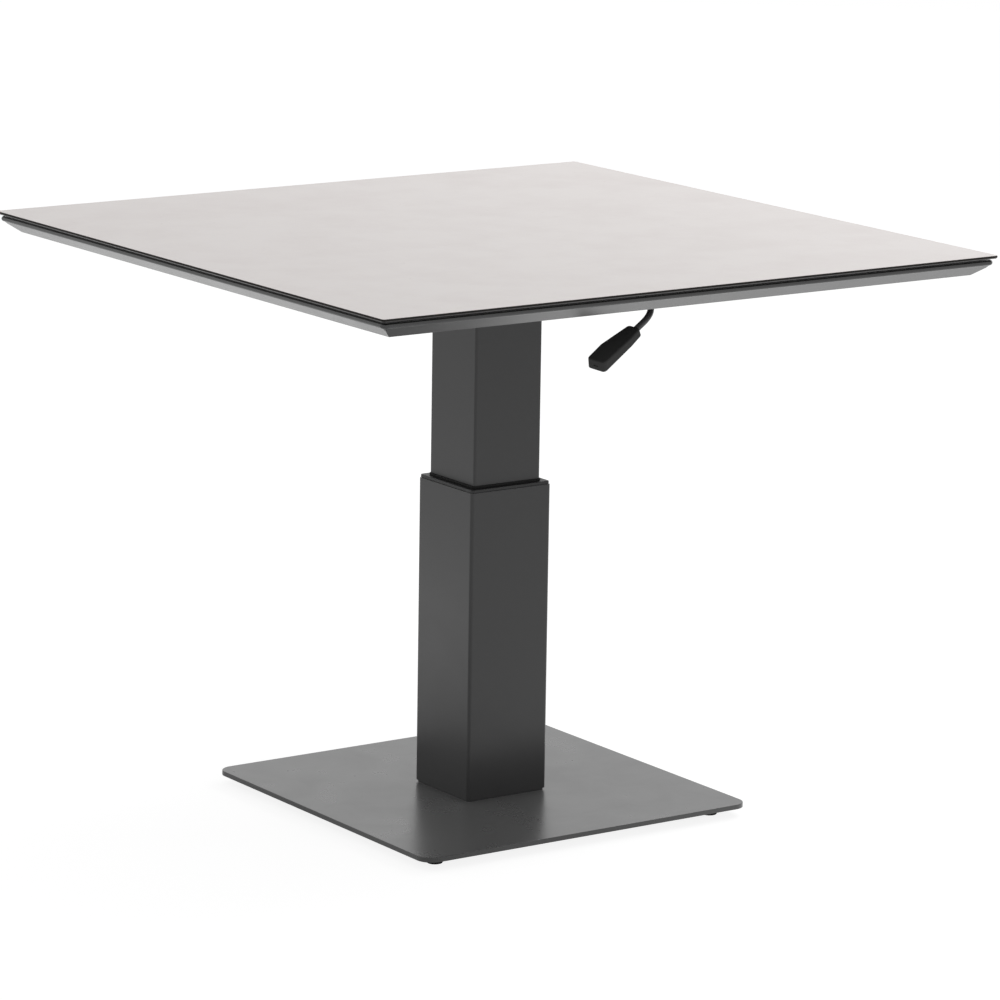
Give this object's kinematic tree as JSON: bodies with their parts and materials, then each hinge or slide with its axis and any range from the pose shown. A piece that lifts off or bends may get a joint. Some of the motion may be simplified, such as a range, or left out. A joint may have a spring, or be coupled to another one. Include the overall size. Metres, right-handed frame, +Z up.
{
  "type": "telescoping pedestal table",
  "caption": "Square table on a square telescoping column with a flat base plate; a lever under the top unlocks the gas spring so that the top slides up and down.",
  "frame": {"origin": "on the floor under the centre of the column", "axes": "+Z up along the column; -Y is the front, where the release lever's grip hangs under the top; +X is to the right seen from the front"},
  "size_m": [0.9, 0.9, 0.732],
  "materials": {
    "powder_coat": "satin fine-texture anthracite powder coat on steel",
    "coated_aluminium": "satin anthracite powder coat on extruded aluminium",
    "bare_aluminium": "mill finish",
    "zinc_steel": "bright zinc plate",
    "black_steel": "black coated steel",
    "black_cylinder": "gloss black lacquer",
    "chromed_rod": "hard chrome, ground",
    "collar_plastic": "moulded grey nylon",
    "black_plastic": "fine-grained moulded nylon",
    "black_rubber": "matt",
    "foam_tape": "closed-cell foam tape",
    "compact_laminate": "pale warm grey decor face on a black compact core"
  },
  "bodies": {
    "base": {"base_plate": "powder_coat", "column_foot_plate": "powder_coat", "column_screws": "zinc_steel", "lower_tube": "powder_coat", "guide_collar": "collar_plastic", "collar_wiper": "black_rubber", "gas_cylinder": "black_cylinder", "gas_rod_guide": "black_plastic", "gas_stud_washer": "zinc_steel", "gas_stud_nut": "zinc_steel", "glide_front_left": "black_plastic", "glide_front_right": "black_plastic", "glide_rear_left": "black_plastic", "glide_rear_right": "black_plastic"},
    "upper": {"upper_tube": "powder_coat", "slide_shoe": "black_plastic", "shoe_screws": "zinc_steel", "piston_rod": "chromed_rod", "gas_piston": "zinc_steel", "piston_rod_nuts": "zinc_steel", "release_bridge": "zinc_steel", "bridge_screws": "black_steel", "top_plate": "powder_coat", "flange_bolts": "zinc_steel", "rail_nuts": "zinc_steel", "cross_rail_left": "powder_coat", "cross_rail_right": "powder_coat", "rail_angle_front_left": "zinc_steel", "rail_angle_front_right": "zinc_steel", "rail_angle_rear_left": "zinc_steel", "rail_angle_rear_right": "zinc_steel", "angle_screws": "zinc_steel", "frame_rail_front": "coated_aluminium", "frame_rail_right": "coated_aluminium", "frame_rail_rear": "coated_aluminium", "frame_rail_left": "coated_aluminium", "corner_key_front_left": "bare_aluminium", "corner_key_front_right": "bare_aluminium", "corner_key_rear_left": "bare_aluminium", "corner_key_rear_right": "bare_aluminium", "frame_tapes": "foam_tape", "rail_tapes": "foam_tape", "tabletop_panel": "compact_laminate", "lever_bracket": "powder_coat", "bracket_screws": "zinc_steel", "lever_bush_front": "black_plastic", "lever_bush_rear": "black_plastic", "lever_bush_outer": "black_plastic"},
    "lever": {"lever_rod": "black_steel", "lever_grip": "black_plastic", "lever_clips": "zinc_steel", "release_cam": "zinc_steel", "cam_screw": "black_steel"},
    "release": {"release_pin": "chromed_rod", "release_button": "zinc_steel"}
  },
  "joints": [
    {"name": "column_slide", "type": "slide", "parent": "base", "child": "upper", "axis": [0, 0, 1], "range_m": [-0.24, 0]},
    {"name": "lever_turn", "type": "hinge", "parent": "upper", "child": "lever", "pos_m": [0, 0, 0.6955], "axis": [0, 1, 0], "range_deg": [0, 20], "stiffness_Nm_per_rad": 0.6, "springref_deg": -8.59},
    {"name": "release_push", "type": "slide", "parent": "upper", "child": "release", "axis": [0, 0, 1], "range_m": [-0.0026, 0]}
  ],
  "couplings": [
    {"joint": "release_push", "follows": "lever_turn", "m_per_rad": -0.00705}
  ]
}
